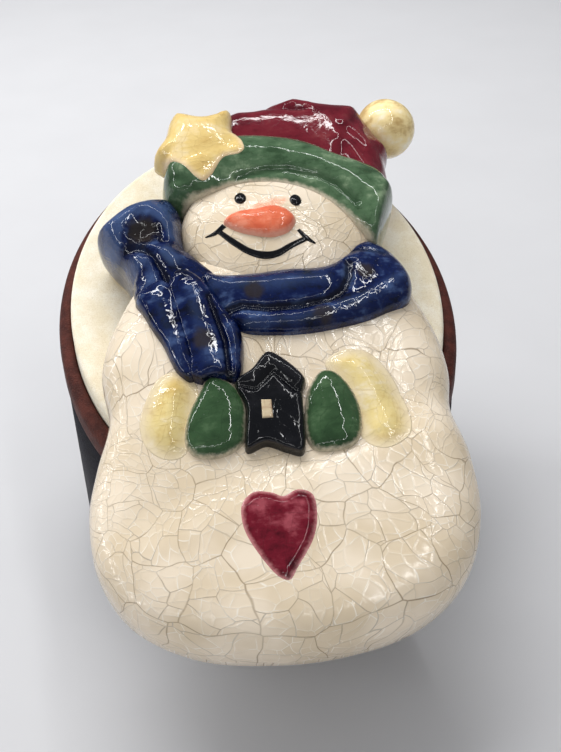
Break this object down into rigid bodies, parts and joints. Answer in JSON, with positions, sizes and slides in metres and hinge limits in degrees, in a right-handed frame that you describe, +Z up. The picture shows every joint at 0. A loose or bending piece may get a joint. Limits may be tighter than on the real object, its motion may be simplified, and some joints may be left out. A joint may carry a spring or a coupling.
{
  "type": "snowman figure on a slanted stand",
  "caption": "Flat-backed relief snowman in glazed ceramic with hat, star, scarf and birdhouse, lying on a round slanted stand that it lifts off.",
  "frame": {"origin": "centre of the stand's underside, on the surface that it stands on", "axes": "+Z up along the stand's axis; the slanted top is low on -Y, where the snowman's foot is, and high on +Y, where the hat is; +X to the viewer's right"},
  "size_m": [0.068, 0.0956, 0.0719],
  "materials": {
    "cream_clay_glaze": "clear crackle glaze over cream slip",
    "green_glaze": "brushed underglaze under clear glaze",
    "burgundy_glaze": "brushed underglaze under clear glaze",
    "navy_glaze": "brushed underglaze under clear glaze",
    "straw_glaze": "mottled underglaze under clear glaze",
    "ochre_wash_glaze": "thin wash under crackle glaze",
    "orange_glaze": "brushed underglaze under clear glaze",
    "black_glaze": "black slip under clear glaze",
    "window_glaze": "pale slip under clear glaze",
    "rim_leatherette": "satin, fine grain",
    "wall_leatherette": "satin, fine grain",
    "pad_suede": "matt microfibre suede",
    "pad_board_card": "matt",
    "core_wood": "plain fibreboard",
    "foot_felt": "matt felt"
  },
  "bodies": {
    "stand": {"stand_foot": "foot_felt", "stand_core": "core_wood", "stand_wrap": "wall_leatherette", "stand_rim": "rim_leatherette", "stand_board": "pad_board_card", "stand_suede": "pad_suede"},
    "figure": {"body": "cream_clay_glaze", "head": "cream_clay_glaze", "hat_cuff": "green_glaze", "hat_crown": "burgundy_glaze", "pompom": "straw_glaze", "star": "straw_glaze", "scarf_knot": "navy_glaze", "scarf_tail_left": "navy_glaze", "scarf_tail_right": "navy_glaze", "scarf_band": "navy_glaze", "birdhouse": "black_glaze", "birdhouse_window": "window_glaze", "mitten_left": "green_glaze", "mitten_right": "green_glaze", "sleeve_left": "ochre_wash_glaze", "sleeve_right": "ochre_wash_glaze", "heart": "burgundy_glaze", "nose": "orange_glaze", "eyes": "black_glaze", "mouth": "black_glaze"}
  },
  "joints": [
    {"name": "figure_lift", "type": "slide", "parent": "stand", "child": "figure", "axis": [0, -0.4384, 0.8988], "range_m": [0, 0.08]}
  ]
}
